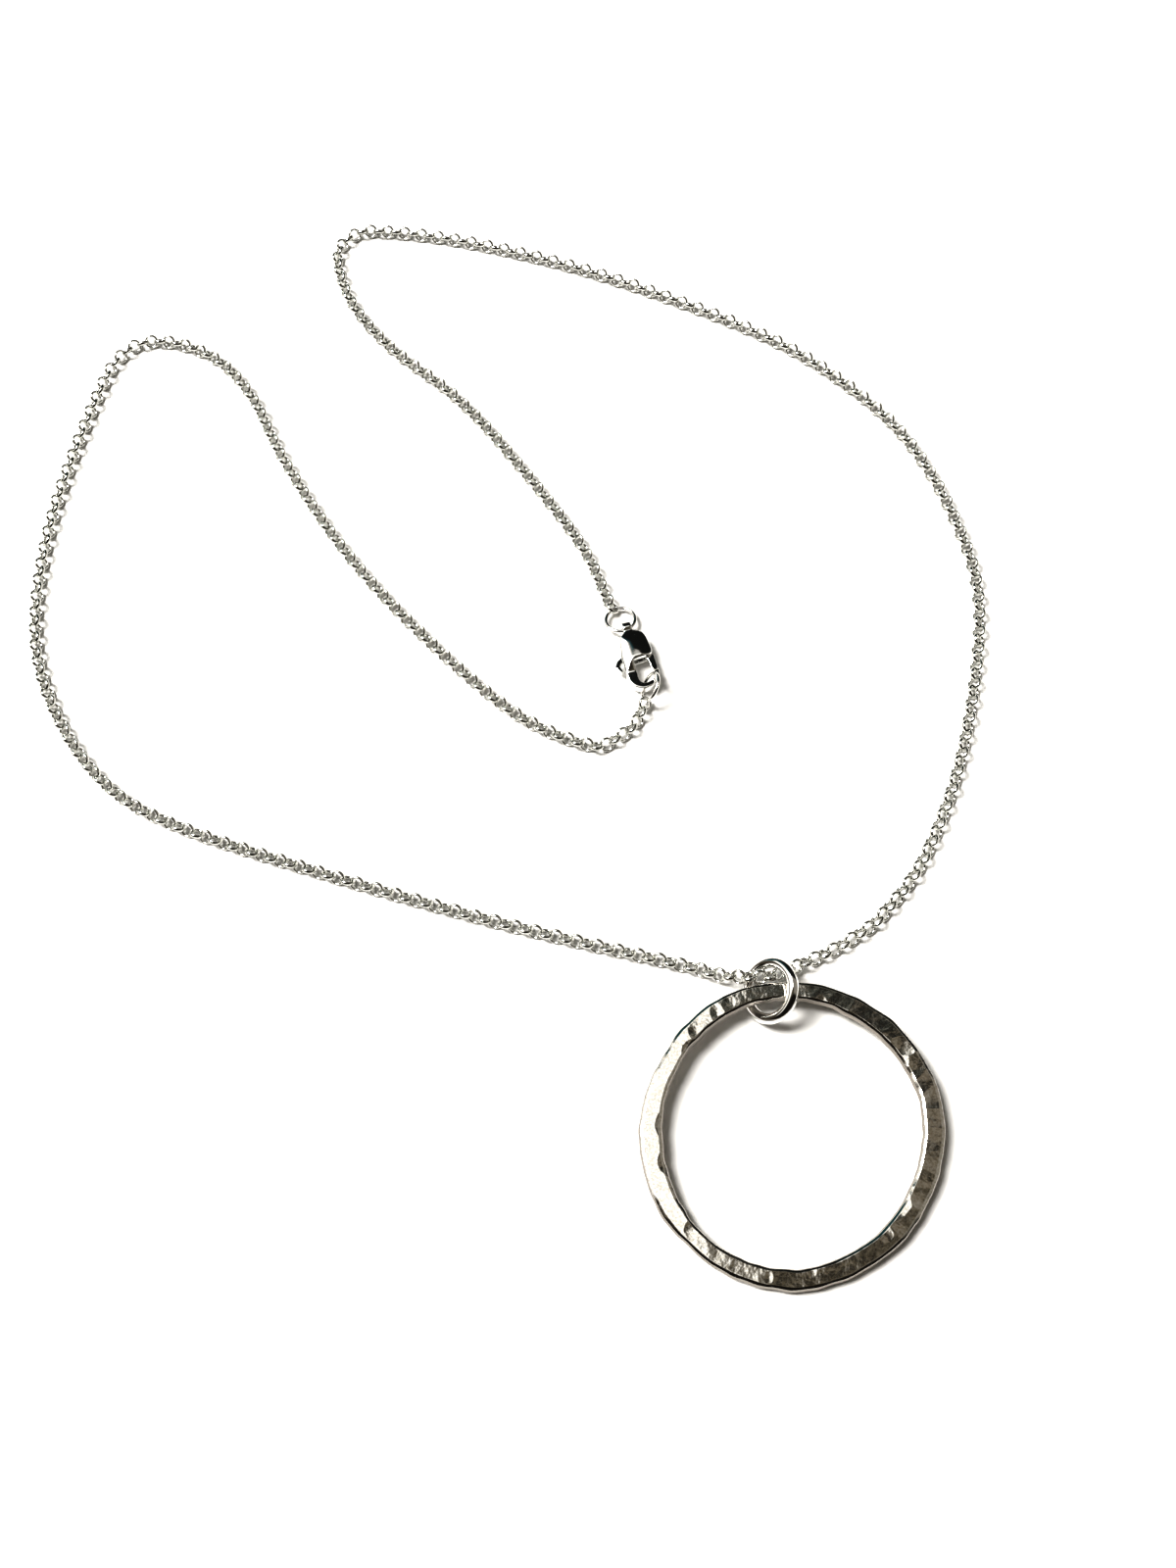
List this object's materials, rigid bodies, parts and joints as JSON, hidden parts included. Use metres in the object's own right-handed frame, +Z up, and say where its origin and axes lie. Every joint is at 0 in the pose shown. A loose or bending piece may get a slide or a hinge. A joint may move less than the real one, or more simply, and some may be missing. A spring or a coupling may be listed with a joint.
{
  "type": "hammered open-ring pendant on a fine chain necklace",
  "caption": "Hand-hammered open circle pendant on a large round jump-ring bail, on a fine rolo chain closed by a lobster clasp with a sprung lever, lying flat.",
  "frame": {"origin": "centre of the necklace's outline on the surface it lies on", "axes": "+Z up from the surface, +Y from the pendant towards the far end of the chain, +X to the right as pictured"},
  "size_m": [0.1171, 0.1426, 0.0053],
  "materials": {
    "hammered_silver": "hand-hammered silver, polished facets with fine speckled texture",
    "polished_silver": "bright polished silver wire",
    "chain_silver": "bright polished silver links",
    "clasp_silver": "smooth polished cast silver"
  },
  "bodies": {
    "necklace": {"pendant_ring": "hammered_silver", "bail": "polished_silver", "chain_right": "chain_silver", "chain_left": "chain_silver", "end_link_right": "chain_silver", "end_link_left": "chain_silver", "clasp_ring": "polished_silver", "catch_ring": "polished_silver", "clasp_body": "clasp_silver", "clasp_pin": "clasp_silver"},
    "lever": {"clasp_lever": "clasp_silver"}
  },
  "joints": [
    {"name": "lever_hinge", "type": "hinge", "parent": "necklace", "child": "lever", "pos_m": [0.01684, 0.00334, 0.0012], "axis": [0, 0, -1], "range_deg": [0, 24], "stiffness_Nm_per_rad": 0.001, "springref_deg": -20.05}
  ]
}
